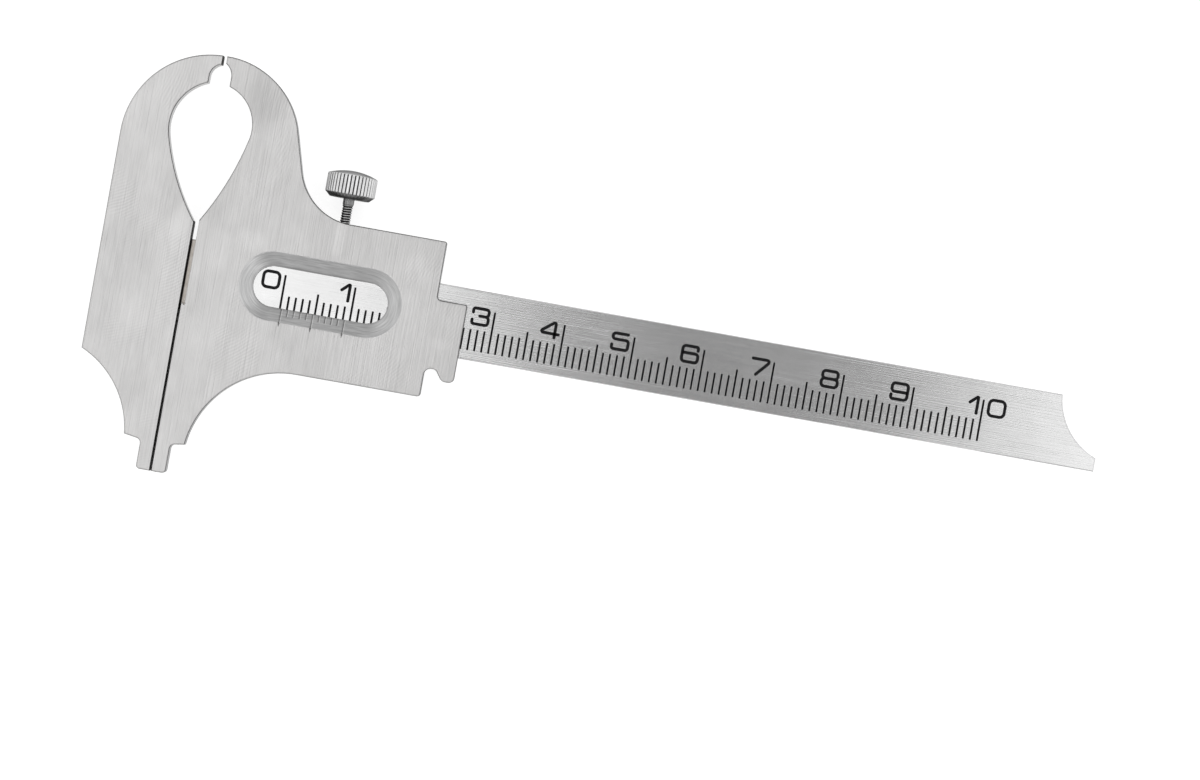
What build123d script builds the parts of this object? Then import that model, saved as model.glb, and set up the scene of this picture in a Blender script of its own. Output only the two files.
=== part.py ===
from build123d import *
from math import atan2, cos, radians, sin, sqrt
import os

# Boley gauge lying on its back: X runs along the beam from the fixed jaw's measuring face,
# Y runs up towards the curved arms from the beam's centreline, Z runs from the back to the front.
# All sizes are in millimetres and angles in degrees. The model stands with its jaws open by rest_gap.

# Stock that both jaws and the beam are made from
jaw_thickness = 3.5
front_wall = 1.0
beam_width = 10.0
beam_thickness = 1.5
beam_reach = 131.0
edge_break = 0.12

# Fits
rest_gap = 0.25
slide_clearance = 0.03
gib_gap = 0.05
gib_end_gap = 0.15
screw_clearance = 0.05

# Scoop at the beam's free end, placed from the end face and from the upper edge
scoop_radius = 9.47
scoop_beyond_end = 3.3
scoop_above_edge = 0.8

# Millimetre scale on the beam
scale_zero_x = 14.04
scale_length = 100
scale_foot_y = -3.6
unit_line = 3.0
five_line = 4.0
ten_line = 5.9
scale_line_width = 0.2
scale_line_depth = 0.08

# Level that both curved arms reach
arm_top_y = 31.2

# Fixed jaw
fixed_width = 12.45
fixed_arm_radius = 12.85
fixed_throat_centre = (1.08, 20.66)
fixed_throat_radius = 6.9
fixed_throat_angle = 14.7
fixed_flank_radius = 32.4
fixed_notch_centre = (0.49, 28.04)
fixed_notch_radius = 1.93
fixed_hollow_radius = 13.35
fixed_hollow_centre = (-17.73, -25.05)

# Moving jaw, measured from its own measuring face
arm_radius = 11.85
arm_centre_x = 0.55
arm_flank_angle = 15.8
arm_shoulder_radius = 8.35
throat_centre = (-0.33, 21.44)
throat_radius = 5.84
throat_angle = 12.7
flank_radius = 43.2
notch_centre = (-0.78, 28.29)
notch_radius = 2.16
tip_relief = 0.34
face_relief = 0.5
face_relief_foot_y = -4.15
face_relief_drill = 0.14
hollow_radius = 13.8
hollow_centre_x = 17.7

# Beaks of both jaws
beak_tip_y = -28.2
beak_width = 2.0
beak_corner = 0.55
beak_step_y = -24.05
beak_step_rise = 0.4
beak_step_run = 2.5
beak_root = 0.7

# Slide
slide_right_x = 35.4
slide_top_y = 10.9
slide_bottom_y = -11.3
slide_top_corner = 0.3
slide_bottom_corner = 0.5

# Thumb tongue
tongue_reach = 4.35
tongue_top_y = 2.6
tongue_bottom_y = -8.65
tongue_root = 0.65
tongue_corner = 0.25
tongue_nib_corner = 0.8
tongue_nib_side = 0.95
tongue_notch_width = 1.56
tongue_notch_lean = 35.3
tongue_notch_y = -7.12
tongue_notch_root = 0.95
tongue_notch_outer = 0.7

# Reading window and vernier
window_length = 19.2
window_height = 5.75
window_centre = (19.1, 0.42)
window_bevel = 2.05
window_land = 0.15
vernier_divisions = 10
vernier_length = 9.0
vernier_short_line = 1.0
vernier_overrun = 0.5
vernier_line_width = 0.15
vernier_line_depth = 0.07

# Covers and rivets on the back
cover_height = 17.2
cover_rivet_diameter = 1.2
cover_rivet_depth = 2.4
cover_rivet_inset = 1.0
cover_rivet_first_x = 3.6
cover_rivet_pitch = 14.2
cover_rivet_columns = 3
jaw_rivet_diameter = 1.6
jaw_rivet_depth = 3.0
jaw_rivet_inset_x = 2.5
jaw_rivet_inset_y = 2.0

# Gib
gib_length = 16.5
gib_height = 1.0
gib_lift = 0.5

# Lock screw
screw_x = 20.65
screw_shank_diameter = 1.5
screw_tip_chamfer = 0.25
screw_collar_diameter = 1.58
screw_collar_length = 0.85
screw_head_y = 14.45
screw_head_diameter = 7.1
screw_under_diameter = 5.6
screw_under_height = 0.65
screw_knurl_height = 2.6
screw_dome_height = 0.75
screw_crown_chamfer = 0.21
knurl_flutes = 40
knurl_depth = 0.2

# Levels and edges that follow from the sizes above
beam_top_y = beam_width / 2
beam_front_z = jaw_thickness - front_wall
beam_back_z = beam_front_z - beam_thickness
channel_front_z = beam_front_z + slide_clearance
channel_back_z = beam_back_z - slide_clearance
channel_top_y = beam_top_y + slide_clearance
fixed_arm_centre_y = arm_top_y - fixed_arm_radius
arm_centre_y = arm_top_y - arm_radius


def piece(shape, name):
    """Give a finished piece its name and write it to its own file."""
    shape.label = name
    export_step(shape, "parts/" + name + ".step")


def block(x0, x1, y0, y1, z0, z1):
    """Box between two corners, with its sides along the axes."""
    centre = ((x0 + x1) / 2, (y0 + y1) / 2, (z0 + z1) / 2)
    return Pos(*centre) * Box(x1 - x0, y1 - y0, z1 - z0)


def panel(x0, x1, y0, y1):
    """Flat rectangle between two corners."""
    return Pos((x0 + x1) / 2, (y0 + y1) / 2) * Rectangle(x1 - x0, y1 - y0)


def disc(centre, radius):
    return Pos(*centre) * Circle(radius)


def plate(face, z0, z1):
    """Flat outline made solid between two levels."""
    return Pos(0, 0, z0) * extrude(face, z1 - z0)


def break_edges(solid, length, inner_x):
    """Take the sharpness off the front and back rims, but not off edges at the measuring faces."""
    levels = solid.edges().group_by(Axis.Z)
    rims = [edge for edge in levels[0] + levels[-1] if abs(edge.center().X) > inner_x]
    return chamfer(rims, length)


def round_corners(face, radius, *corners):
    """Round the corners of an outline that lie nearest to the given points."""
    chosen = [face.vertices().sort_by_distance((x, y, 0))[0] for x, y in corners]
    return fillet(chosen, radius)


def throat(side, centre, radius, angle, flank, edge_x):
    """Half of the drop-shaped opening, from the line x = edge_x out to one side.

    A round top runs into a long flank arc, tangent to it at an angle below the round's middle.
    """
    middle = Vector(*centre)
    out = Vector(side * cos(radians(angle)), -sin(radians(angle)))
    join = middle + out * radius
    flank_centre = join - out * flank
    foot = Vector(edge_x, flank_centre.Y - sqrt(flank**2 - (edge_x - flank_centre.X) ** 2))
    crown = Vector(edge_x, middle.Y + sqrt(radius**2 - (edge_x - middle.X) ** 2))
    start = atan2(foot.Y - flank_centre.Y, side * (foot.X - flank_centre.X))
    bend = (start - radians(angle)) / 2
    flank_middle = flank_centre + Vector(side * cos(bend), sin(bend)) * flank
    finish = atan2(crown.Y - middle.Y, side * (crown.X - middle.X))
    bow = (finish - radians(angle)) / 2
    round_middle = middle + Vector(side * cos(bow), sin(bow)) * radius
    outline = [
        ThreePointArc(foot, flank_middle, join),
        ThreePointArc(join, round_middle, crown),
        Line(crown, foot),
    ]
    return make_face(outline)


def beak_cut(side):
    """What is cut away beside one beak: a narrow side and a slightly rising step."""
    far = side * 4 * fixed_width
    foot = beak_tip_y - beak_width
    slope = beak_step_rise / beak_step_run
    corners = [
        (side * beak_width, foot),
        (side * beak_width, beak_step_y),
        (far, beak_step_y + (abs(far) - beak_width) * slope),
        (far, foot),
    ]
    cut = make_face(Polyline(*corners, close=True))
    return round_corners(cut, beak_root, corners[1])


def fixed_outline():
    """Outline of the fixed jaw, from the tip of its arm to the tip of its beak."""
    crown_x = fixed_arm_radius - fixed_width
    face = panel(-fixed_width, 0, beak_tip_y, fixed_arm_centre_y)
    arm = disc((crown_x, fixed_arm_centre_y), fixed_arm_radius)
    arm &= panel(-2 * fixed_width, 0, fixed_arm_centre_y, fixed_arm_centre_y + 2 * fixed_arm_radius)
    face += arm
    face -= disc(fixed_hollow_centre, fixed_hollow_radius)
    face -= beak_cut(-1)
    face = round_corners(face, beak_corner, (-beak_width, beak_tip_y))
    opening = (fixed_throat_centre, fixed_throat_radius, fixed_throat_angle, fixed_flank_radius)
    face -= throat(-1, *opening, 0)
    face -= disc(fixed_notch_centre, fixed_notch_radius)
    notch_side = fixed_notch_centre[0] - fixed_notch_radius
    return face - panel(notch_side, 1, fixed_throat_centre[1], fixed_notch_centre[1])


def arm_outline():
    """Arm of the moving jaw: a round top, and a straight flank down to the slide."""
    lean = radians(arm_flank_angle)
    touch = Vector(arm_centre_x, arm_centre_y) + Vector(cos(lean), sin(lean)) * arm_radius
    foot_y = slide_bottom_y + slide_bottom_corner
    foot_x = touch.X + (touch.Y - foot_y) * sin(lean) / cos(lean)
    corners = [
        (0, arm_centre_y),
        (arm_centre_x, arm_centre_y),
        (touch.X, touch.Y),
        (foot_x, foot_y),
        (0, foot_y),
    ]
    arm = make_face(Polyline(*corners, close=True))
    crown = disc((arm_centre_x, arm_centre_y), arm_radius)
    crown &= panel(0, 2 * arm_radius, arm_centre_y, arm_centre_y + 2 * arm_radius)
    return arm + crown


def slide_outline():
    """Outline of the moving jaw and the slide, without the tongue."""
    face = panel(0, slide_right_x, slide_bottom_y, slide_top_y)
    face = round_corners(face, slide_top_corner, (slide_right_x, slide_top_y))
    face = round_corners(face, slide_bottom_corner, (slide_right_x, slide_bottom_y))
    face += arm_outline()
    lean = radians(arm_flank_angle)
    shoulder_x = arm_centre_x + (arm_radius - (slide_top_y - arm_centre_y) * sin(lean)) / cos(lean)
    face = round_corners(face, arm_shoulder_radius, (shoulder_x, slide_top_y))
    beak = panel(0, hollow_centre_x, beak_tip_y, slide_bottom_y)
    beak -= disc((hollow_centre_x, slide_bottom_y - hollow_radius), hollow_radius)
    beak -= beak_cut(1)
    beak = round_corners(beak, beak_corner, (beak_width, beak_tip_y))
    face += beak
    face -= panel(0, face_relief, face_relief_foot_y, arm_centre_y)
    face -= panel(0, tip_relief, arm_centre_y, arm_centre_y + 2 * arm_radius)
    face -= throat(1, throat_centre, throat_radius, throat_angle, flank_radius, face_relief)
    face -= panel(0, face_relief, arm_centre_y, throat_centre[1] + throat_radius)
    face -= disc(notch_centre, notch_radius)
    notch_side = notch_centre[0] + notch_radius
    return face - panel(0, notch_side, throat_centre[1], notch_centre[1])


def front_outline(slide):
    """Outline of the slide's front wall, with the thumb tongue and the notch in it for pulling."""
    right_x = slide_right_x + tongue_reach
    tongue = panel(slide_right_x - tongue_reach, right_x, tongue_bottom_y, tongue_top_y)
    notch_right_x = slide_right_x + tongue_notch_width
    lean = radians(tongue_notch_lean)
    nib_left_x = notch_right_x + (tongue_notch_y - tongue_bottom_y) * sin(lean) / cos(lean)
    corners = [
        (slide_right_x, tongue_bottom_y),
        (slide_right_x, tongue_notch_y),
        (notch_right_x, tongue_notch_y),
        (nib_left_x, tongue_bottom_y),
    ]
    tongue -= make_face(Polyline(*corners, close=True))
    tongue = round_corners(tongue, tongue_corner, (right_x, tongue_top_y))
    tongue = round_corners(tongue, tongue_nib_corner, (right_x, tongue_bottom_y))
    tongue = round_corners(tongue, tongue_nib_side, corners[3])
    tongue = round_corners(tongue, tongue_notch_outer, corners[2])
    tongue = round_corners(tongue, tongue_notch_root, corners[1])
    return round_corners(slide + tongue, tongue_root, (slide_right_x, tongue_top_y))


def scale_grooves():
    """One groove for each millimetre, longer at the fives and longest at the tens."""
    half = scale_line_width / 2
    floor_z = beam_front_z - scale_line_depth
    grooves = []
    for number in range(round(scale_length) + 1):
        length = unit_line
        if number % 5 == 0:
            length = five_line
        if number % 10 == 0:
            length = ten_line
        x = scale_zero_x + number
        line = block(x - half, x + half, scale_foot_y, scale_foot_y + length, floor_z, jaw_thickness)
        grooves.append(line)
    return grooves


def window_cut():
    """Reading window: an oblong opening with a wide bevel round its front."""
    land_z = channel_front_z + window_land
    opening = SlotOverall(window_length, window_height)
    rim = SlotOverall(window_length + 2 * window_bevel, window_height + 2 * window_bevel)
    place = Pos(window_centre[0], window_centre[1], 0)
    through = place * plate(opening, beam_back_z, jaw_thickness)
    bevel = place * loft([Pos(0, 0, land_z) * opening, Pos(0, 0, jaw_thickness) * rim], ruled=True)
    return through + bevel


def vernier_grooves():
    """Vernier lines down the lower bevel, the first, middle and last running out on the flat."""
    rim_y = window_centre[1] - window_height / 2 - window_bevel
    inner_y = rim_y + window_bevel
    inner_z = channel_front_z + window_land
    slope = (jaw_thickness - inner_z) / window_bevel
    above_z = jaw_thickness + 1
    deep = vernier_line_depth
    grooves = []
    for number in range(vernier_divisions + 1):
        if number % 5 == 0:
            end_y = rim_y - vernier_overrun
            floor = [(end_y, jaw_thickness), (rim_y, jaw_thickness - deep)]
        else:
            end_y = inner_y - vernier_short_line
            floor = [(end_y, inner_z + slope * vernier_short_line - deep)]
        start_y = inner_y + vernier_line_width
        section = floor + [(inner_y, inner_z - deep), (start_y, inner_z - deep)]
        section += [(start_y, above_z), (end_y, above_z)]
        x = scale_zero_x + number * vernier_length / vernier_divisions - vernier_line_width / 2
        profile = make_face(Polyline(*[(x, y, z) for y, z in section], close=True))
        grooves.append(extrude(profile, vernier_line_width, dir=(1, 0, 0)))
    return grooves


def rivets(diameter, depth, places):
    """Plain pins set in from the back, with their ends flush with it."""
    return [Pos(x, y, depth / 2) * Cylinder(diameter / 2, depth) for x, y in places]


def knurl():
    """Right-angled flutes along the head's rim, each cut by the edge of a square bar."""
    side = 2 * knurl_depth
    bar = Rot(Z=45) * Box(side, side, 2 * (screw_knurl_height + screw_dome_height + screw_under_height))
    floor_radius = screw_head_diameter / 2 - knurl_depth
    return [turn * bar for turn in PolarLocations(floor_radius + side / sqrt(2), knurl_flutes)]


def lock_screw(tip_y):
    """Turned screw along Y: shank with a chamfered tip, collar, bevelled underside and domed head."""
    shank = screw_shank_diameter / 2
    rim = screw_head_diameter / 2
    rim_foot_y = screw_head_y + screw_under_height
    rim_top_y = rim_foot_y + screw_knurl_height
    crown = rim - screw_crown_chamfer
    crown_y = rim_top_y + screw_crown_chamfer
    side = [
        (0, tip_y),
        (shank - screw_tip_chamfer, tip_y),
        (shank, tip_y + screw_tip_chamfer),
        (shank, screw_head_y - screw_collar_length),
        (screw_collar_diameter / 2, screw_head_y - screw_collar_length),
        (screw_collar_diameter / 2, screw_head_y),
        (screw_under_diameter / 2, screw_head_y),
        (rim, rim_foot_y),
        (rim, rim_top_y),
        (crown, crown_y),
    ]
    apex = (0, rim_top_y + screw_dome_height)
    dome_radius = (crown**2 + (apex[1] - crown_y) ** 2) / (2 * (apex[1] - crown_y))
    dome_angle = atan2(crown, dome_radius - (apex[1] - crown_y)) / 2
    dome_middle = (dome_radius * sin(dome_angle), apex[1] - dome_radius * (1 - cos(dome_angle)))
    outline = [Polyline(*side), ThreePointArc(side[-1], dome_middle, apex), Line(apex, side[0])]
    turned = revolve(make_face(outline), Axis.Y)
    return turned - Pos(0, rim_foot_y, 0) * Rot(X=-90) * Compound(knurl())


os.makedirs("parts", exist_ok=True)
to_rest = Pos(rest_gap, 0, 0)

# Beam, with its scale and the rivet holes under the fixed jaw
jaw_rivet_x = [-fixed_width + jaw_rivet_inset_x, -jaw_rivet_inset_x]
jaw_rivet_y = [-beam_top_y + jaw_rivet_inset_y, beam_top_y - jaw_rivet_inset_y]
jaw_rivet_places = [(x, y) for x in jaw_rivet_x for y in jaw_rivet_y]
jaw_rivets = rivets(jaw_rivet_diameter, jaw_rivet_depth, jaw_rivet_places)
strip = panel(-fixed_width, beam_reach, -beam_top_y, beam_top_y)
strip -= disc((beam_reach + scoop_beyond_end, beam_top_y + scoop_above_edge), scoop_radius)
beam = break_edges(plate(strip, beam_back_z, beam_front_z), edge_break, 0)
beam = beam - scale_grooves() - jaw_rivets
piece(beam, "beam")

# Fixed jaw, with the channel that takes the beam from behind, and the strip that closes it
fixed_blank = break_edges(plate(fixed_outline(), 0, jaw_thickness), edge_break, edge_break)
channel = block(-2 * fixed_width, 1, -beam_top_y, beam_top_y, -1, beam_front_z)
piece(fixed_blank - channel - jaw_rivets, "fixed_jaw")
jaw_cover = fixed_blank & block(-fixed_width, 0, -beam_top_y, beam_top_y, 0, beam_back_z)
piece(jaw_cover - jaw_rivets, "fixed_jaw_cover")
piece(Compound(jaw_rivets), "fixed_jaw_rivets")

# Slide, with the beam's channel, the gib's pocket, the screw's hole, the window and the vernier
slide_face = slide_outline()
slide = plate(slide_face, 0, channel_front_z)
slide += plate(front_outline(slide_face), channel_front_z, jaw_thickness)
slide = break_edges(slide, edge_break, face_relief + edge_break)
relief_corner = disc((face_relief - face_relief_drill / 2, face_relief_foot_y), face_relief_drill)
slide -= plate(relief_corner, 0, jaw_thickness)
gib_foot_y = beam_top_y + gib_gap
gib_top_y = gib_foot_y + gib_height
pocket_top_y = gib_top_y + gib_lift
pocket_half = gib_length / 2 + gib_end_gap
slide_cover = slide & block(0, slide_right_x, -cover_height / 2, cover_height / 2, 0, channel_back_z)
slide -= block(-1, slide_right_x + 1, -channel_top_y, channel_top_y, -1, channel_front_z)
slide -= block(-1, slide_right_x + 1, -cover_height / 2, cover_height / 2, -1, channel_back_z)
slide -= block(screw_x - pocket_half, screw_x + pocket_half, 0, pocket_top_y, 0, channel_front_z)
screw_z = (channel_front_z + channel_back_z) / 2
hole_radius = screw_shank_diameter / 2 + screw_clearance
hole_length = slide_top_y + arm_shoulder_radius - gib_top_y
hole = Rot(X=90) * Cylinder(hole_radius, hole_length)
slide -= Pos(screw_x, gib_top_y + hole_length / 2, screw_z) * hole
slide -= window_cut()
slide -= vernier_grooves()
cover_rivet_y = cover_height / 2 - cover_rivet_inset
cover_rivet_places = []
for column in range(cover_rivet_columns):
    x = cover_rivet_first_x + column * cover_rivet_pitch
    cover_rivet_places += [(x, -cover_rivet_y), (x, cover_rivet_y)]
cover_rivets = rivets(cover_rivet_diameter, cover_rivet_depth, cover_rivet_places)
piece(to_rest * (slide - cover_rivets), "slider")
piece(to_rest * (slide_cover - cover_rivets), "slider_cover")
piece(to_rest * Compound(cover_rivets), "slider_rivets")

# Gib over the beam, and the lock screw whose tip stands on it
gib_back_z = channel_back_z + slide_clearance
gib_front_z = channel_front_z - slide_clearance
gib_half = gib_length / 2
gib = block(screw_x - gib_half, screw_x + gib_half, gib_foot_y, gib_top_y, gib_back_z, gib_front_z)
piece(to_rest * gib, "gib")
piece(to_rest * Pos(screw_x, 0, screw_z) * lock_screw(gib_top_y), "lock_screw")
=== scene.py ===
from math import pi, radians

import bpy
import bmesh
import numpy as np
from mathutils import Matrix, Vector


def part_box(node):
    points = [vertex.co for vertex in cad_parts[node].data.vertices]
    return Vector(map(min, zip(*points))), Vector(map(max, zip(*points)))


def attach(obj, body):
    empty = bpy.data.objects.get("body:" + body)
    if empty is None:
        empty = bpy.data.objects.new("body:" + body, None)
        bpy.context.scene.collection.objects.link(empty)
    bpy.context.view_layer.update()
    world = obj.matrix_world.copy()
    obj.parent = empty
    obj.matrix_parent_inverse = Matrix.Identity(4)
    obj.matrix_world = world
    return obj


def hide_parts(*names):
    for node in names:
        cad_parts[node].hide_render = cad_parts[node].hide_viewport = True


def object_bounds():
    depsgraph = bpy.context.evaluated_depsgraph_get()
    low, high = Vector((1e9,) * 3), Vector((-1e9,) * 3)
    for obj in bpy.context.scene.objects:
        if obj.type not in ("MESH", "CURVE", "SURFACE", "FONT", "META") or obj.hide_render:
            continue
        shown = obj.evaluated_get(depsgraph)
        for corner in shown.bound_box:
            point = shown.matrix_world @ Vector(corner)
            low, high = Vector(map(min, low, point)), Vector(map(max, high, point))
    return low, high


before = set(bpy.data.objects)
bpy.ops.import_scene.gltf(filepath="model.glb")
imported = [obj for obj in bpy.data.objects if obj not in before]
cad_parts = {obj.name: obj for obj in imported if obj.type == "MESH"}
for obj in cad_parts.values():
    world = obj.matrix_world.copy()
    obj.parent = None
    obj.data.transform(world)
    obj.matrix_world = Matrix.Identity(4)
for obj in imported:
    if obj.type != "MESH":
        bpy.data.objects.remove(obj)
cad_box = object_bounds()

# Camera, straight above the gauge's front and turned so that the beam runs down to the right.
# The photograph's frame is 169 mm wide at the front face, and the lens is long, so walls hardly show.
MM = 0.001
front_z = 3.5 * MM
view_turn = radians(10.12)
view_centre = (60.5 * MM, -5.86 * MM)
view_width = 169.0 * MM
view_distance = 780 * MM
camera = bpy.data.cameras.new("camera")
camera.sensor_width = 36
camera.lens = camera.sensor_width * view_distance / view_width
camera.clip_start = 0.01
camera.clip_end = 10
camera_object = bpy.data.objects.new("camera", camera)
camera_object.location = (*view_centre, front_z + view_distance)
camera_object.rotation_euler = (0, 0, view_turn)
bpy.context.collection.objects.link(camera_object)
bpy.context.scene.camera = camera_object
bpy.context.scene.view_settings.view_transform = "Standard"


# Floor and studio light: a plain pale sheet over a dim light table, which keeps shadows faint. The lock
# screw's head touches the sheet. A tent stands round it, bright left and right, greyer at both ends and
# dim on top. Two wide lamps hang beside the lens, and the beam mirrors their gap as its grey middle.
floor_half = 3.0
floor_shade = (0.45, 0.45, 0.45, 1)
floor_glow = 0.78
tent_top = 0.3
tent_end = 0.6
tent_side = 1.0
tent_rim = (0.88, 0.68)
lamp_height = 780 * MM
lamp_gap = (28 * MM, 161 * MM)
lamp_widths = (0.42, 0.34)
lamp_depth = 0.95
lamp_radiance = 1.06


class Wire:
    """An output socket in a tree of nodes.

    Sums, differences, products and comparisons of wires and numbers add Math nodes,
    and node() adds any other node to the same tree.
    """

    def __init__(self, tree, socket=None):
        self.tree = tree
        self.socket = socket

    def node(self, kind, settings, sockets, output=0):
        """Add a node, set its settings and then its sockets, and give one of its outputs."""
        made = self.tree.nodes.new("ShaderNode" + kind)
        for name, value in settings.items():
            setattr(made, name, value)
        for name, value in sockets.items():
            if isinstance(value, Wire):
                self.tree.links.new(value.socket, made.inputs[name])
            else:
                made.inputs[name].default_value = value
        return Wire(self.tree, made.outputs[output]) if made.outputs else None

    def math(self, operation, *values):
        """A Math node with these values."""
        return self.node("Math", {"operation": operation}, dict(enumerate(values)))

    def vector(self, operation, *values):
        """A Vector Math node with this wire and these values."""
        return self.node("VectorMath", {"operation": operation}, dict(enumerate((self, *values))))

    def ramp(self, low, high):
        """0 below low, 1 above high, and smooth between; the other way round if low is larger."""
        sockets = {"Value": self, "From Min": low, "From Max": high}
        return self.node("MapRange", {"interpolation_type": "SMOOTHSTEP"}, sockets)

    def __add__(self, other):
        return self.math("ADD", self, other)

    def __radd__(self, other):
        return self.math("ADD", other, self)

    def __sub__(self, other):
        return self.math("SUBTRACT", self, other)

    def __rsub__(self, other):
        return self.math("SUBTRACT", other, self)

    def __mul__(self, other):
        return self.math("MULTIPLY", self, other)

    def __rmul__(self, other):
        return self.math("MULTIPLY", other, self)

    def __lt__(self, other):
        return self.math("LESS_THAN", self, other)

    def __gt__(self, other):
        return self.math("GREATER_THAN", self, other)

    def __abs__(self):
        return self.math("ABSOLUTE", self)


def material_start(name):
    """A material without nodes, and the wire that its nodes begin from."""
    material = bpy.data.materials.new(name)
    material.use_nodes = True
    material.node_tree.nodes.clear()
    return material, Wire(material.node_tree)


def close_material(wire, **sockets):
    """The shader that ends a material, with its sockets named with _ for a space."""
    shader = wire.node("BsdfPrincipled", {}, {name.replace("_", " "): v for name, v in sockets.items()})
    wire.node("OutputMaterial", {}, {"Surface": shader})


floor_mesh = bpy.data.meshes.new("floor")
floor_z = cad_box[0].z
floor_signs = [(-1, -1), (1, -1), (1, 1), (-1, 1)]
floor_corners = [(floor_half * x, floor_half * y, floor_z) for x, y in floor_signs]
floor_mesh.from_pydata(floor_corners, [], [(0, 1, 2, 3)])
floor = bpy.data.objects.new("floor", floor_mesh)
bpy.context.collection.objects.link(floor)
floor_material, wire = material_start("pale_floor")
close_material(
    wire,
    Base_Color=floor_shade,
    Roughness=0.8,
    Specular_IOR_Level=0.2,
    Emission_Color=(1, 1, 1, 1),
    Emission_Strength=floor_glow,
)
floor_mesh.materials.append(floor_material)


def axes(place):
    """The three parts of a vector."""
    return [place.node("SeparateXYZ", {}, {0: place}, axis) for axis in "XYZ"]


studio = bpy.data.worlds.new("studio")
studio.use_nodes = True
studio.node_tree.nodes.clear()
wire = Wire(studio.node_tree)
x, y, z = axes(wire.node("TexCoord", {}, {}, "Generated"))
sideways = wire.math("DIVIDE", x * x, x * x + y * y + 0.0001)
tent_wall = tent_end + sideways * (tent_side - tent_end)
tent = tent_top + z.ramp(*tent_rim) * (tent_wall - tent_top)
background = wire.node("Background", {}, {"Color": (1, 1, 1, 1), "Strength": tent})
wire.node("OutputWorld", {}, {"Surface": background})
bpy.context.scene.world = studio
lamp_centres = (lamp_gap[0] - lamp_widths[0] / 2, lamp_gap[1] + lamp_widths[1] / 2)
for lamp_name, lamp_x, lamp_width in zip(("lamp_left", "lamp_right"), lamp_centres, lamp_widths):
    lamp = bpy.data.lights.new(lamp_name, "AREA")
    lamp.shape = "RECTANGLE"
    lamp.size = lamp_width
    lamp.size_y = lamp_depth
    lamp.energy = lamp_radiance * pi * lamp_width * lamp_depth
    lamp_object = bpy.data.objects.new(lamp_name, lamp)
    lamp_object.location = (lamp_x, view_centre[1], lamp_height)
    lamp_object.visible_camera = False
    bpy.context.collection.objects.link(lamp_object)


# Beam: a strip of hard stainless steel, ground lengthwise, with the millimetre lines cut into it.
# The lines are filled with black enamel, rubbed flush and a little dull, that laps over their edges.
# At the fixed jaw's foot it is painted black as shadow between the jaws, with a brown-grey strip beside.
# Its side walls carry painted shade, partly their duller finish.
beam_back = 1.0
beam_front = 2.5
front_skin = 0.1
side_inset = 0.11
zero_x = 14.04
last_line = 100
line_foot = -3.6
line_heights = (3.0, 4.0, 5.9)
enamel_half_width = 0.15
enamel_fade = 0.012
# Painted shadow between the jaws, and a darker brown-grey strip beside it:
by_fixed_jaw_span = (-0.3, 1.2)
brown_strip_fade = (1.1, 0.8)
gap_shadow_fade = (0.3, 0.15)
beam_tone = (0.67, 0.67, 0.67)
enamel_colour = (0.006, 0.006, 0.007, 1)
brown_strip_colour = (0.5, 0.455, 0.41, 1)
shadow_black = (0.012, 0.011, 0.01, 1)
# Painted shade on the side walls:
beam_wall_shade = 0.6
beam_roughness = 0.15
beam_arris = 0.12 * MM
beam_furrow = 0.012 * MM


def place_mm(wire):
    """Object coordinates in millimetres."""
    return wire.node("TexCoord", {}, {}, "Object").vector("MULTIPLY", (1000, 1000, 1000))


def noise(place, per_mm, detail=2):
    """Noise from about -1 to 1, with so many features per millimetre along X, Y and Z."""
    sockets = {"Vector": place.vector("MULTIPLY", per_mm), "Scale": 1, "Detail": detail}
    return 2 * place.node("TexNoise", {}, sockets) - 1


def ground(place, along, shift, grain=0.06):
    """What a grinding belt leaves along one axis: the wires of tone and height.

    Tone is fine streaks, broad bands and slow clouds about 1. Height is the streaks alone, from -1 to 1.
    """
    moved = place.vector("ADD", (shift, -shift, 0))
    fine = noise(moved, [0.3 if axis == along else 6.0 for axis in range(3)], 2)
    band = noise(moved, [0.06 if axis == along else 0.9 for axis in range(3)], 2)
    cloud = noise(moved, (0.14, 0.09, 0.14), 3)
    furrow = noise(moved, [0.1 if axis == along else 7.0 for axis in range(3)], 0)
    tone = 1 + fine * grain + band * 0.04 + cloud * 0.09
    return tone, furrow


def toned_colour(tone, colour):
    """The colour, made lighter and darker by the tone."""
    return tone.node("VectorMath", {"operation": "SCALE"}, {0: colour, "Scale": tone})


def choose(mask, off, on):
    """One colour where the mask is 0 and another where it is 1. Sockets 6 and 7 take the colours."""
    return mask.node("Mix", {"data_type": "RGBA"}, {"Factor": mask, 6: off, 7: on}, 2)


def eased(place, radius):
    """Normal of a plate whose sharp edges are broken to a small radius by stoning."""
    return place.node("Bevel", {"samples": 6}, {"Radius": radius})


def bump(height, distance, arris_normal=None):
    """Normal of a surface whose height of 1 stands for that distance in metres, on eased edges or not."""
    sockets = {"Strength": 1.0, "Distance": distance, "Height": height}
    if arris_normal is not None:
        sockets["Normal"] = arris_normal
    return height.node("Bump", {}, sockets)


def dress(material, *nodes):
    """Give CAD nodes a material."""
    for node in nodes:
        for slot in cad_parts[node].material_slots:
            slot.material = material


def inside(value, low, high):
    """1 where the value lies between two limits."""
    return (value > low) * (value < high)


def multiple_of(number, count):
    """1 where a whole number is a multiple of the count."""
    share = number * (1 / count)
    return abs(share - number.math("ROUND", share)) < 0.01


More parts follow.
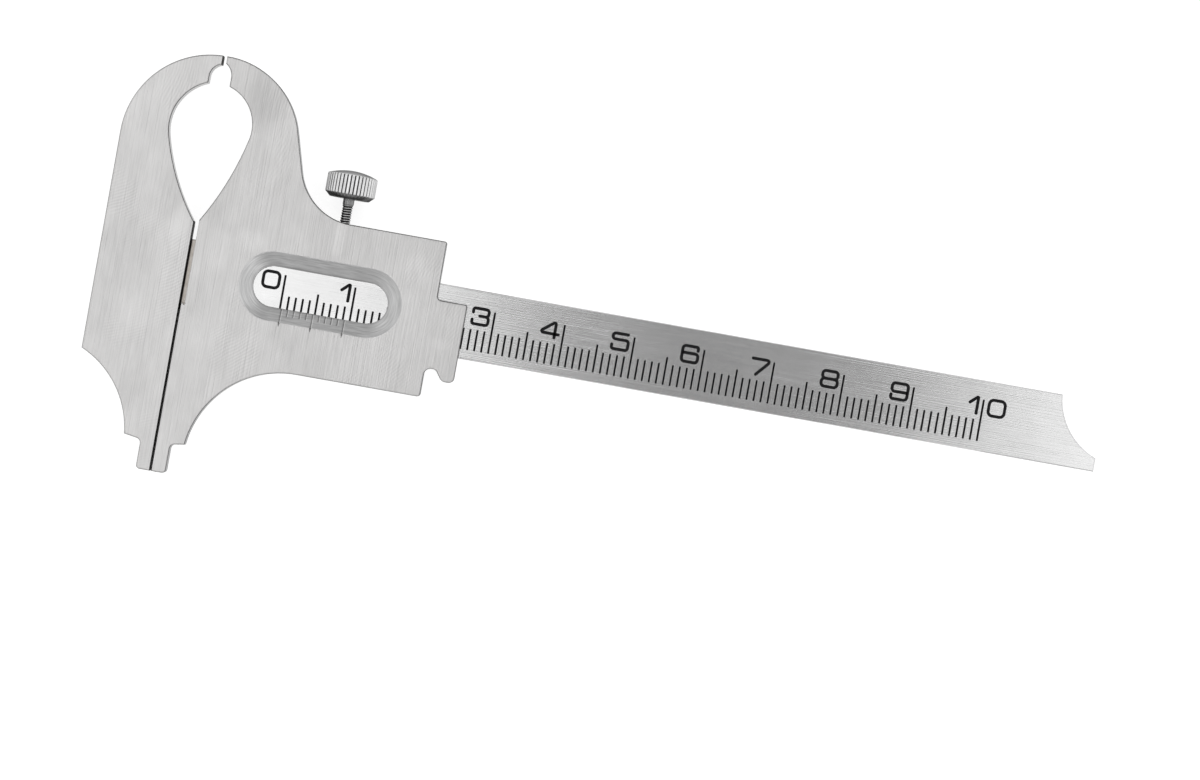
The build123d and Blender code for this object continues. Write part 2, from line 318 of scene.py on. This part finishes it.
beam_steel, wire = material_start("beam_steel")
place = place_mm(wire)
x, y, z = axes(place)
tone, streaks = ground(place, 0, 0.0)
number = wire.math("ROUND", x - zero_x)
off_line = abs(x - zero_x - number)
fifth, tenth = [multiple_of(number, count) for count in (5, 10)]
short, medium, long = line_heights
line_top = line_foot + short + fifth * (medium - short) + tenth * (long - medium)
on_front = z > beam_front - front_skin
in_row = inside(number, -0.5, last_line + 0.5) * (y > line_foot) * (line_top > y) * on_front
line_mask = off_line.ramp(enamel_half_width + enamel_fade, enamel_half_width - enamel_fade) * in_row
wall = inside(z, beam_back + side_inset, beam_front - side_inset)
# Painted shadow: black between the jaws, fading off to the right, and a darker brown-grey strip beside
# it.
by_fixed_jaw = inside(x, *by_fixed_jaw_span) * on_front
brown_strip = x.ramp(*brown_strip_fade) * by_fixed_jaw * (0.85 + noise(place, (2.0, 1.2, 2.0), 3) * 0.3)
gap_shadow = x.ramp(*gap_shadow_fade) * by_fixed_jaw
# Painted shade: the side walls are darker than the ground front, partly their duller finish.
bare = toned_colour(tone * (1 - wall * beam_wall_shade), beam_tone)
by_jaw_colour = choose(gap_shadow, choose(brown_strip, bare, brown_strip_colour), shadow_black)
close_material(
    wire,
    Base_Color=choose(line_mask, by_jaw_colour, enamel_colour),
    Metallic=1 - line_mask,
    Roughness=beam_roughness + line_mask * 0.3 + brown_strip * 0.3,
    Specular_IOR_Level=0.1,
    Normal=bump(streaks, beam_furrow, eased(place, beam_arris)),
)
dress(beam_steel, "beam")


# Figures of the scale: engraved strokes of even width, filled with the same enamel as the lines.
# They are wide and square with rounded corners, and each stands left of its line, except the last 0.
stroke = 0.45
figure_width = 2.28
figure_height = 2.24
figure_foot = 0.23
figure_gap = 0.77
last_zero_gap = 0.86
one_stem = 1.08
layer_step = 0.001
end_steps = 6
sharp_angle = radians(40)
enamel_foot = beam_front - 0.005
enamel_rise = 0.016
enamel_roughness = 0.5
speck_height = 0.004 * MM
right, top = figure_width, figure_height
six = [(right - 0.1, 1.72), (right - 0.1, top), (0, top), (0, 0), (right, 0), (right, 1.25), (0, 1.25)]
figure_strokes = {
    "0": [([(0, 0), (right, 0), (right, top), (0, top)], 0.62, True)],
    "1": [([(-0.02, 1.42), (0.92, top + 0.03), (one_stem, top + 0.03), (one_stem, 0)], 0.1, False)],
    "2": [
        ([(0, 1.65), (0, top), (right, top), (right, 1.22), (0, 1.1), (0, 0), (right, 0)], 0.42, False),
    ],
    "3": [
        ([(0, 1.62), (0, top), (right - 0.05, top), (right - 0.05, 1.2), (1.0, 1.2)], 0.42, False),
        ([(1.0, 1.2), (right, 1.2), (right, 0), (0, 0), (0, 0.58)], 0.45, False),
    ],
    "4": [([(1.82, 0), (1.82, top + 0.06), (-0.42, 0.56), (right + 0.06, 0.5)], 0.2, False)],
    "5": [([(2.1, top), (0, top), (0, 1.4), (right, 1.4), (right, 0), (0, 0), (0, 0.6)], 0.4, False)],
    "6": [(six, 0.45, False)],
    "7": [([(0, top - 0.08), (2.64, top - 0.08), (0.7, -0.05)], 0.28, False)],
    "8": [
        ([(0.05, 1.15), (right - 0.05, 1.15), (right - 0.05, top), (0.05, top)], 0.45, True),
        ([(0, 0), (right, 0), (right, 1.15), (0, 1.15)], 0.48, True),
    ],
    "9": [
        ([(0, 0.58), (0, 0), (right, 0), (right, top), (0, top), (0, 1.03), (right, 1.03)], 0.45, False),
    ],
}


def length(rows):
    """Length of each row, as a column."""
    return np.sqrt((rows**2).sum(1, keepdims=True))


def unit(rows):
    """Each row at a length of 1."""
    return rows / length(rows)


def rounded(corners, radius, closed):
    """Points of a line through the corners, each corner rounded by an arc.

    An arc's centre lies on the bisector, radius / sin(half) from the corner, where half is half the
    angle between the two legs. Its points turn evenly about the centre from one leg to the other.
    """
    corner = np.array(corners, float)
    back = np.roll(corner, 1, 0) - corner
    ahead = np.roll(corner, -1, 0) - corner
    room = np.minimum(length(back), length(ahead)) / 2
    back, ahead = unit(back), unit(ahead)
    half = np.arccos(np.clip((back * ahead).sum(1, keepdims=True), -1, 1)) / 2
    bend = np.minimum(radius, room * np.tan(half))
    leg = bend / np.tan(half)
    middle = unit(back + ahead)
    centre = corner + middle * bend / np.sin(half)
    first, last = corner + back * leg - centre, corner + ahead * leg - centre
    sweep = pi - 2 * half[:, :, None]
    share = np.linspace(0, 1, 9)[None, :, None]
    arcs = np.sin((1 - share) * sweep) * first[:, None] + np.sin(share * sweep) * last[:, None]
    arcs = arcs / np.sin(sweep) + centre[:, None]
    if closed:
        return arcs.reshape(-1, 2)
    return np.vstack([corner[:1], arcs[1:-1].reshape(-1, 2), corner[-1:]])


def net(points, around, along):
    """Corners and faces of a grid of points, closed around its columns or along its rows where asked."""
    rows, columns = points.shape[:2]
    number = np.arange(rows * columns).reshape(rows, columns)
    low = number if along else number[:-1]
    high = np.roll(number, -1, 0) if along else number[1:]
    if around:
        low, high = np.c_[low, low[:, :1]], np.c_[high, high[:, :1]]
    faces = np.stack([low[:, :-1], low[:, 1:], high[:, 1:], high[:, :-1]], -1).reshape(-1, 4)
    return points.reshape(-1, 3), faces


def mesh_piece(name, nets, body, material):
    """One piece from several nets in millimetres: joined, closed where points meet, faces outwards."""
    corners, faces, count = [], [], 0
    for points, quads in nets:
        corners.append(points * MM)
        faces += (quads + count).tolist()
        count += len(points)
    mesh = bpy.data.meshes.new(name)
    mesh.from_pydata(np.vstack(corners).tolist(), [], faces)
    work = bmesh.new()
    work.from_mesh(mesh)
    bmesh.ops.remove_doubles(work, verts=work.verts, dist=1e-8)
    bmesh.ops.recalc_face_normals(work, faces=work.faces)
    work.to_mesh(mesh)
    work.free()
    mesh.shade_smooth()
    mesh.set_sharp_from_angle(angle=sharp_angle)
    mesh.materials.append(material)
    piece = bpy.data.objects.new(name, mesh)
    bpy.context.collection.objects.link(piece)
    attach(piece, body)
    return piece


def enamel_line(corners, radius, closed, corner_x, foot_z):
    """A stroke of enamel: a low flat-topped section carried along the line, with round ends.

    Beyond an end the section goes on by half a stroke, narrowing and sinking as the cosine of an
    angle whose sine is the distance.
    """
    line = rounded(corners, radius, closed) + [corner_x, figure_foot]
    size = np.ones(len(line))
    if closed:
        tangent = np.roll(line, -1, 0) - np.roll(line, 1, 0)
    else:
        tangent = np.gradient(line, axis=0)
        turn = np.linspace(0, pi / 2, end_steps + 1)[1:, None]
        start = line[0] - unit(tangent[:1]) * np.sin(turn[::-1]) * stroke / 2
        end = line[-1] + unit(tangent[-1:]) * np.sin(turn) * stroke / 2
        line = np.vstack([start, line, end])
        tangent = np.pad(tangent, ((end_steps, end_steps), (0, 0)), "edge")
        size = np.r_[np.cos(turn[::-1, 0]), size, np.cos(turn[:, 0])]
        size[[0, -1]] = 0
    side = unit(np.c_[-tangent[:, 1], tangent[:, 0]])
    across = np.array([-1, -0.97, -0.86, 0.86, 0.97, 1]) * stroke / 2
    rise = np.array([0, 0.7, 1, 1, 0.7, 0]) * enamel_rise
    points = np.empty((len(line), len(across), 3))
    points[:, :, :2] = line[:, None] + side[:, None] * (across * size[:, None])[:, :, None]
    points[:, :, 2] = foot_z + rise * size[:, None]
    return net(points, around=True, along=closed)


enamel, wire = material_start("black_enamel")
place = place_mm(wire)
speck = noise(place, (6.0, 6.0, 6.0), 3)
close_material(
    wire,
    Base_Color=toned_colour(1 + speck * 0.35, enamel_colour[:3]),
    Roughness=enamel_roughness + speck * 0.12,
    Specular_IOR_Level=0.15,
    Normal=bump(speck, speck_height),
)
for tens in range(11):
    nets = []
    line_x = zero_x + 10 * tens
    for index, digit in enumerate(str(tens)):
        corner_x = line_x - figure_gap - figure_width
        if digit == "1":
            corner_x = line_x - figure_gap - one_stem
        if index == 1:
            corner_x = line_x + last_zero_gap
        for layer, (corners, radius, closed) in enumerate(figure_strokes[digit]):
            nets.append(enamel_line(corners, radius, closed, corner_x, enamel_foot + layer_step * layer))
    mesh_piece(f"scale_figure_{10 * tens}", nets, "fixed_half", enamel)


# Fixed jaw: a plate of the same steel, ground across the beam on a wide wheel, with the clouds and
# swirls that hand polishing leaves. The strip that closes its back is ground with it.
plate_front = front_z / MM
plate_span = (-0.01, plate_front - 0.03)
jaw_tone = (0.556, 0.551, 0.548)
jaw_furrow = 0.006 * MM
jaw_arris = 0.2 * MM
arris = 0.07
# Painted shadow on the measuring faces, black at the arris and greyer below:
jaw_faces = {"fixed": (-arris, 0.05), "moving": (0.2, 0.25 + arris)}
relief_face = (0.8, 0.9)
face_shadow_colours = {"fixed": (0.036, 0.034, 0.032), "moving": (0.17, 0.165, 0.16)}
face_shadow_fade = (3.1, 3.35)
# Painted shade on walls and arrises, most on those facing right and up:
edge_shade_depth = 0.38
up_right_shade = 0.44
up_right_shade_fade = (2.9, 3.4)
jaw_roughness = 0.3
shaded_face_roughness = 0.6
jaw_grain = 0.1
moving_jaw_shift = 83.0
swirl_tone = 0.09
swirl_pitch = 0.42
swirl_hub = (-24.0, 31.0)
rub_marks = [
    (-11.2, 22.0, 1.6, 4.0, 0.06),
    (-3.9, 11.6, 1.7, 4.2, -0.09),
    (-1.9, 5.8, 1.5, 3.4, 0.1),
    (-7.5, 1.0, 3.0, 6.0, -0.05),
    (-4.7, -15.0, 2.0, 5.5, -0.05),
    (6.9, 26.2, 2.6, 4.4, -0.11),
    (11.2, 24.0, 1.0, 4.0, 0.07),
    (3.2, 11.0, 1.8, 4.6, -0.07),
    (4.2, 4.2, 1.8, 3.0, 0.07),
    (8.0, 6.2, 2.8, 1.6, 0.07),
    (2.2, -2.6, 1.4, 3.2, -0.05),
    (20.6, 8.4, 0.9, 2.6, 0.1),
    (32.0, 6.2, 2.2, 2.4, 0.06),
    (31.6, 1.6, 1.1, 3.4, 0.06),
    (37.3, -3.4, 1.6, 0.8, 0.06),
    (12.0, -9.0, 4.0, 2.4, 0.05),
    (30.0, -1.0, 9.0, 13.0, 0.05),
    (-11.0, 10.0, 3.5, 22.0, -0.05),
]


def sooted(place, jaw):
    """1 on the measuring faces and on the face set back beside the beam, which carry a painted shadow.

    The painted shadow ends a hair round the arris, on the front.
    """
    x, y, z = axes(place)
    faces = inside(x, *jaw_faces[jaw]) * (z > plate_span[0])
    set_back = inside(x, *relief_face) * inside(z, *plate_span)
    return place.math("MAXIMUM", faces, set_back)


def dulled(place, arris_normal, jaw):
    """How far the filed walls and their arrises are darkened: painted shade, partly their duller finish.

    It grows as the surface leans away from the front, and is most on the walls that look right and
    up the gauge, as painted shade. On the fixed jaw these walls are darkened only near the front.
    """
    lean_x, lean_y, lean_z = axes(arris_normal)
    faces_up_right = (lean_x + lean_y).ramp(-0.4, 0.4)
    up_right_part = up_right_shade if jaw == "moving" else axes(place)[2].ramp(*up_right_shade_fade) * up_right_shade
    return abs(lean_z).ramp(0.97, 0.7) * (edge_shade_depth + faces_up_right * up_right_part)


def film(place, streaks, jaw):
    """Colour of the painted shadow on the measuring faces: black on the arris and greyer below.

    The moving jaw's is a lighter grey.
    """
    z = axes(place)[2]
    face_colour = toned_colour(1 + streaks * 0.4, face_shadow_colours[jaw])
    return choose(z.ramp(*face_shadow_fade), face_colour, shadow_black)


def rubbed(place):
    """Tone of the places that hands and cloth have rubbed light or left dull: soft spots on the front.

    Each spot is centred at the first two numbers, reaches as far as the next two, and has the last
    as its strength. It fades with the square of the distance and is broken up by fine streaks.
    """
    x, y, z = axes(place)
    tone = 0
    for spot_x, spot_y, reach_x, reach_y, strength in rub_marks:
        across, up = (x - spot_x) * (1 / reach_x), (y - spot_y) * (1 / reach_y)
        tone = tone + (across * across + up * up).ramp(1.6, 0) * strength
    streak = noise(place, (2.4, 0.35, 2.4), 2)
    return tone * (1 + streak * 0.7) * (z > plate_front - front_skin)


def swirled(place, shift):
    """Tone of hand polishing, from -1 to 1: fine arcs about a far hub, in loose patches, and smudges."""
    x, y = axes(place)[:2]
    hub_x, hub_y = swirl_hub
    reach = place.math("SQRT", (x - hub_x) * (x - hub_x) + (y - hub_y) * (y - hub_y))
    moved = place.vector("ADD", (-shift, shift, 0))
    waver = noise(moved, (0.3, 0.3, 0.3), 1)
    arcs = place.math("SINE", reach * (2 * pi / swirl_pitch) + waver * 4)
    patch = noise(moved, (0.16, 0.12, 0.16), 2).ramp(-0.1, 0.4)
    smudge = noise(moved, (0.45, 0.22, 0.45), 3)
    return arcs * patch * 0.6 + smudge


def jaw_material(name, shift):
    """Steel of the fixed jaw's pieces. The shift takes each to another stretch of the grinding marks."""
    material, wire = material_start(name)
    place = place_mm(wire)
    tone, streaks = ground(place, 1, shift, jaw_grain)
    tone = tone + swirled(place, shift) * swirl_tone + rubbed(place)
    # The measuring faces carry a painted shadow.
    faces = sooted(place, "fixed")
    arris_normal = eased(place, jaw_arris)
    # Painted shade darkens the walls and arrises.
    steel = toned_colour(tone * (1 - dulled(place, arris_normal, "fixed")), jaw_tone)
    close_material(
        wire,
        Base_Color=choose(faces, steel, film(place, streaks, "fixed")),
        Metallic=1 - faces,
        Roughness=jaw_roughness + faces * (shaded_face_roughness - jaw_roughness),
        Specular_IOR_Level=0.1,
        Normal=bump(streaks, jaw_furrow, arris_normal),
    )
    return material


dress(jaw_material("fixed_jaw_steel", 31.0), "fixed_jaw")


# Covers and rivets: strips of the same plate, let in flush behind the beam. Each is held by soft steel
# rivets, whose ends are filed flush and keep a fine dark ring where they fill the countersink.
rivet_roughness = 0.36
seam_dark = 0.7


def rivet_material(name, first_x, pitch, row_y, radius):
    """Filed steel with rings round each rivet's own axis. The rivets stand evenly spaced in two rows."""
    material, wire = material_start(name)
    x, y = axes(place_mm(wire))[:2]
    steps = (x - first_x) * (1 / pitch)
    off_x = (steps - wire.math("ROUND", steps)) * pitch
    off_y = abs(y) - row_y
    out = wire.math("SQRT", off_x * off_x + off_y * off_y)
    rings = wire.node("CombineXYZ", {}, {0: out * 8.0, 1: steps * 3.0, 2: y * 0.2})
    turning = 2 * wire.node("TexNoise", {}, {"Vector": rings, "Scale": 1, "Detail": 1}) - 1
    seam = out.ramp(radius - 0.16, radius - 0.05)
    close_material(
        wire,
        Base_Color=toned_colour((1 + turning * 0.2) * (1 - seam * seam_dark), jaw_tone),
        Metallic=1.0,
        Roughness=rivet_roughness,
        Normal=bump(turning, jaw_furrow),
    )
    return material


dress(jaw_material("cover_steel", 57.0), "fixed_jaw_cover", "slider_cover")
fixed_rivets = {"first_x": -9.95, "pitch": 7.45, "row_y": 3.0, "radius": 0.8}
slider_rivets = {"first_x": 3.85, "pitch": 14.2, "row_y": 7.6, "radius": 0.6}
dress(rivet_material("fixed_jaw_rivet_steel", **fixed_rivets), "fixed_jaw_rivets")
dress(rivet_material("slider_rivet_steel", **slider_rivets), "slider_rivets")


# Moving jaw and slide, in one plate ground like the fixed jaw. The window's bevel is milled with a
# conical cutter that leaves marks round the oval, and the vernier lines are scribed down its slope.
window_centre = (19.35, 0.42)
vernier_zero_x = 14.29
vernier_pitch = 0.9
long_pitch = 5 * vernier_pitch
vernier_end = 0.3
short_end_y = -3.5
nick_end_y = -5.05
nick_point = 0.03
nick_spread = 0.22
window_length = 19.2
window_height = 5.75
bevel_width = 2.05
bevel_foot = 2.68
bevel_tone = (0.56, 0.56, 0.56)
mill_tone = 0.45
# Painted highlight and shadow beside each vernier line:
line_highlight = 0.3
line_shadow = 0.2
# Painted shade in the vernier grooves and at the window's rim:
groove_shade = 0.5
rim_shade = 0.2
# Painted shade in the ends of the long vernier lines:
nick_shade = 0.6

slider_steel, wire = material_start("slider_steel")
place = place_mm(wire)
x, y, z = axes(place)
tone, streaks = ground(place, 1, moving_jaw_shift, jaw_grain)
tone = tone + swirled(place, moving_jaw_shift) * swirl_tone + rubbed(place)
beyond = wire.math("MAXIMUM", abs(x - window_centre[0]) - (window_length - window_height) / 2, 0)
off_middle = wire.math("SQRT", beyond * beyond + (y - window_centre[1]) * (y - window_centre[1]))
slope = (plate_front - bevel_foot) / bevel_width
in_bevel = off_middle < window_height / 2 + bevel_width + 0.01
bevel_mask = in_bevel * inside(z, beam_front + 0.02, plate_front - 0.005)
rings = wire.node("CombineXYZ", {}, {0: off_middle * 6.5, 1: x * 0.4, 2: y * 0.4})
mill = 2 * wire.node("TexNoise", {}, {"Vector": rings, "Scale": 1, "Detail": 2}) - 1
# Painted shade: the bevel is darker in the scribed vernier grooves, and in a band at the window's inner
# rim.
groove = ((off_middle - window_height / 2) * slope + bevel_foot - z).ramp(0.015, 0.05) * bevel_mask
rim = off_middle.ramp(window_height / 2 + 0.3, window_height / 2 + 0.15)
steps = (x - vernier_zero_x) * (1 / vernier_pitch)
off_step = (steps - wire.math("ROUND", steps)) * vernier_pitch
step_end = short_end_y + multiple_of(wire.math("ROUND", steps), 5) * (nick_end_y - short_end_y)
on_vernier = inside(x, vernier_zero_x - vernier_end, vernier_zero_x + 2 * long_pitch + vernier_end)
# Painted highlight and shadow: beside each vernier line a lighter strip on one side and a darker one on
# the other.
line_light_and_shade = inside(off_step, 0.08, 0.2) * line_highlight - inside(off_step, -0.18, -0.08) * line_shadow
line_light_and_shade = line_light_and_shade * on_vernier * inside(y, step_end, window_centre[1] - window_height / 2)
bevel_tones = (1 + mill * mill_tone + line_light_and_shade) * (1 - groove * groove_shade) * (1 - rim * rim_shade)
bevel_colour = toned_colour(bevel_tones, bevel_tone)
# Painted shade: the short slanted ends of the long vernier lines, on the flat front, are darker.
fifths = (x - vernier_zero_x) * (1 / long_pitch)
off_long = abs(fifths - wire.math("ROUND", fifths)) * long_pitch
nick = (off_long < nick_point + (y - nick_end_y) * nick_spread) * on_vernier
nick = nick * inside(y, nick_end_y, nick_end_y + 0.6) * (z > plate_front - 0.15)
# The measuring face carries a painted shadow.
faces = sooted(place, "moving")
arris_normal = eased(place, jaw_arris)
# Painted shade darkens the walls and arrises.
edge_shading = dulled(place, arris_normal, "moving")
steel = toned_colour(tone * (1 - nick * nick_shade) * (1 - edge_shading), jaw_tone)
flat_colour = choose(faces, steel, film(place, streaks, "moving"))
close_material(
    wire,
    Base_Color=choose(bevel_mask * (1 - nick), flat_colour, bevel_colour),
    Metallic=1 - faces,
    Roughness=jaw_roughness + faces * (shaded_face_roughness - jaw_roughness),
    Specular_IOR_Level=0.1,
    Normal=bump(streaks * (1 - bevel_mask) + mill * bevel_mask * 0.25, jaw_furrow, arris_normal),
)
dress(slider_steel, "slider")


# Gib: a milled strip of brass, which lies loose in the slide's pocket above the beam.
# The screw's tip presses it on the beam, so that the scale strip is held and not marked.
gib_tone = (0.72, 0.54, 0.24)
gib_roughness = 0.35

gib_brass, wire = material_start("gib_brass")
place = place_mm(wire)
tone, streaks = ground(place, 0, 5.0)
close_material(
    wire,
    Base_Color=toned_colour(tone, gib_tone),
    Metallic=1.0,
    Roughness=gib_roughness,
    Normal=bump(streaks, jaw_furrow, eased(place, beam_arris)),
)
dress(gib_brass, "gib")


# Lock screw: turned from one bar of steel, with a fine thread, a short collar and a wide head whose
# rim is knurled straight. The head's underside is bevelled and its top is domed.
screw_low, screw_high = [np.array(c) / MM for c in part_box("lock_screw")]
screw_x = (screw_low[0] + screw_high[0]) / 2
screw_z = (screw_low[2] + screw_high[2]) / 2
tip_y, apex_y = screw_low[1], screw_high[1]
rim_radius = 3.54
rim_foot_y = 15.1
rim_top_y = 17.7
rim_arris = 0.02
crown_radius = rim_radius - 0.14
crown_y = rim_top_y + 0.1
under_y = 14.45
under_radius = 2.82
flutes = 40
flute_depth = 0.22
flute_land = 0.54
flute_wobble = 0.25
thread_pitch = 0.35
thread_crest = 0.745
thread_depth = 0.16
thread_flat = 0.2
thread_run_out = 0.25
tip_radius = 0.5
collar_radius = 0.79
collar_length = 0.85
collar_y = under_y - collar_length
thread_end_y = collar_y - 0.3
head_seat_y = under_y + 0.02
# Painted shade in the knurl's valleys, the thread's grooves, the collar and underside, and on the dome:
valley_shade = 0.78
thread_shade = 0.8
under_shade = 0.62
dome_shade = 0.14
random = np.random.default_rng(7)


def turned(radius, height, angle):
    """Points round the screw's axis: radius from it, height along it, angle from Z towards X."""
    return np.stack([screw_x + radius * np.sin(angle), height, screw_z + radius * np.cos(angle)], -1)


def threaded_shank():
    """Shank whose radius falls from the crest by a V, whose place climbs one pitch in a turn.

    The V's depth is the distance from the crest line, less a flat crest, over half the pitch. It fades
    out below the collar and over the pointed tip, where a cone of 45 degrees cuts it off.
    """
    thread = np.arange(tip_y, collar_y, thread_pitch / 12)
    height = np.r_[tip_y, thread, collar_y, collar_y + 0.001, collar_y + 0.06, head_seat_y, head_seat_y]
    height = height[:, None]
    angle = np.linspace(0, 2 * pi, 48, endpoint=False)[None, :]
    phase = (height / thread_pitch - angle / (2 * pi)) % 1
    cut = np.clip((abs(2 * phase - 1) - thread_flat) / (1 - thread_flat), 0, 1)
    fade = np.clip((collar_y - 0.05 - height) / thread_run_out, 0, 1)
    radius = thread_crest - thread_depth * cut * fade
    radius = np.minimum(radius, tip_radius + height - tip_y)
    radius[-4] = collar_radius - 0.05
    radius[-3:-1] = collar_radius
    radius[[0, -1]] = 0
    height = np.broadcast_to(height, radius.shape).copy()
    return net(turned(radius, height, angle), around=True, along=False)


def knurled_head():
    """Head turned from a profile of radius and height, its rim cut by flutes.

    A flute is a V between two lands: the radius is the smaller of the profile's and the flute's,
    which is the rim less the depth times the distance into the flute over half its width.
    """
    per_flute = 10
    profile = [(radius, under_y) for radius in (0, 1.0, 1.9, under_radius - 0.08)]
    profile += [(under_radius, under_y + rim_arris), (rim_radius - flute_depth, rim_foot_y - 0.16)]
    profile += [(rim_radius - 0.03, rim_foot_y), (rim_radius, rim_foot_y + 0.05)]
    profile += [(rim_radius, y) for y in np.linspace(rim_foot_y + 0.6, rim_top_y - 0.6, 3)]
    profile += [(rim_radius, rim_top_y - rim_arris), (rim_radius - rim_arris, rim_top_y)]
    shares = np.linspace(1, 0, 14)
    profile += [(crown_radius * s, crown_y + (apex_y - crown_y) * (1 - s**2)) for s in shares]
    shape = np.array(profile)
    column = np.arange(flutes * per_flute)
    off_flute = abs((column % per_flute) / per_flute * 2 - 1)
    wobble = 1 + flute_wobble * (random.random(flutes) - 0.5)
    cut = np.clip((off_flute - flute_land) / (1 - flute_land), 0, 1) * np.repeat(wobble, per_flute)
    angle = column * 2 * pi / len(column)
    radius = np.minimum(shape[:, :1], rim_radius - flute_depth * cut[None, :])
    height = np.broadcast_to(shape[:, 1:], radius.shape).copy()
    return net(turned(radius, height, angle[None, :]), around=True, along=False)


def screw_material(name, colour, edge_tint, roughness):
    """Turned steel: fine rings round the axis, and painted shade in the flutes, the thread, the collar,
    under the head and on the dome.
    """
    material, wire = material_start(name)
    place = place_mm(wire)
    x, y, z = axes(place)
    out = wire.math("SQRT", (x - screw_x) * (x - screw_x) + (z - screw_z) * (z - screw_z))
    rings = wire.node("CombineXYZ", {}, {0: out * 9.0, 1: y * 9.0, 2: 0.0})
    turning = 2 * wire.node("TexNoise", {}, {"Vector": rings, "Scale": 1, "Detail": 2}) - 1
    patch = noise(place, (0.9, 0.5, 0.9), 2)
    # Painted shade darkens the knurl's valleys, the thread's grooves, the collar and underside, and the
    # dome.
    in_rim = inside(y, rim_foot_y - 0.1, rim_top_y + 0.06)
    valley = out.ramp(rim_radius - 0.015, rim_radius - flute_depth * 0.7) * in_rim
    groove = out.ramp(thread_crest - 0.01, thread_crest - 0.07) * (y < thread_end_y)
    below = inside(y, thread_end_y, rim_foot_y - 0.1)
    above = y > rim_top_y + 0.08
    painted_shade = (1 - valley * valley_shade) * (1 - groove * thread_shade) * (1 - below * under_shade)
    shade = painted_shade * (1 - above * dome_shade)
    close_material(
        wire,
        Base_Color=toned_colour((1 + turning * 0.15 + patch * 0.12) * shade, colour),
        Metallic=1.0,
        Roughness=roughness,
        Specular_Tint=edge_tint,
        Normal=bump(turning, jaw_furrow),
    )
    return material


# Both are the same steel; the thread's is given darker, as painted shade.
thread_steel = screw_material("thread_steel", (0.66, 0.66, 0.66), (0.08, 0.08, 0.08, 1), 0.25)
head_steel = screw_material("head_steel", (0.76, 0.76, 0.76), (0.12, 0.12, 0.12, 1), 0.28)
shank = mesh_piece("lock_screw_shank", [threaded_shank()], "screw", thread_steel)
head = mesh_piece("lock_screw_head", [knurled_head()], "screw", head_steel)
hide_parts("lock_screw")
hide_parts("lock_screw")
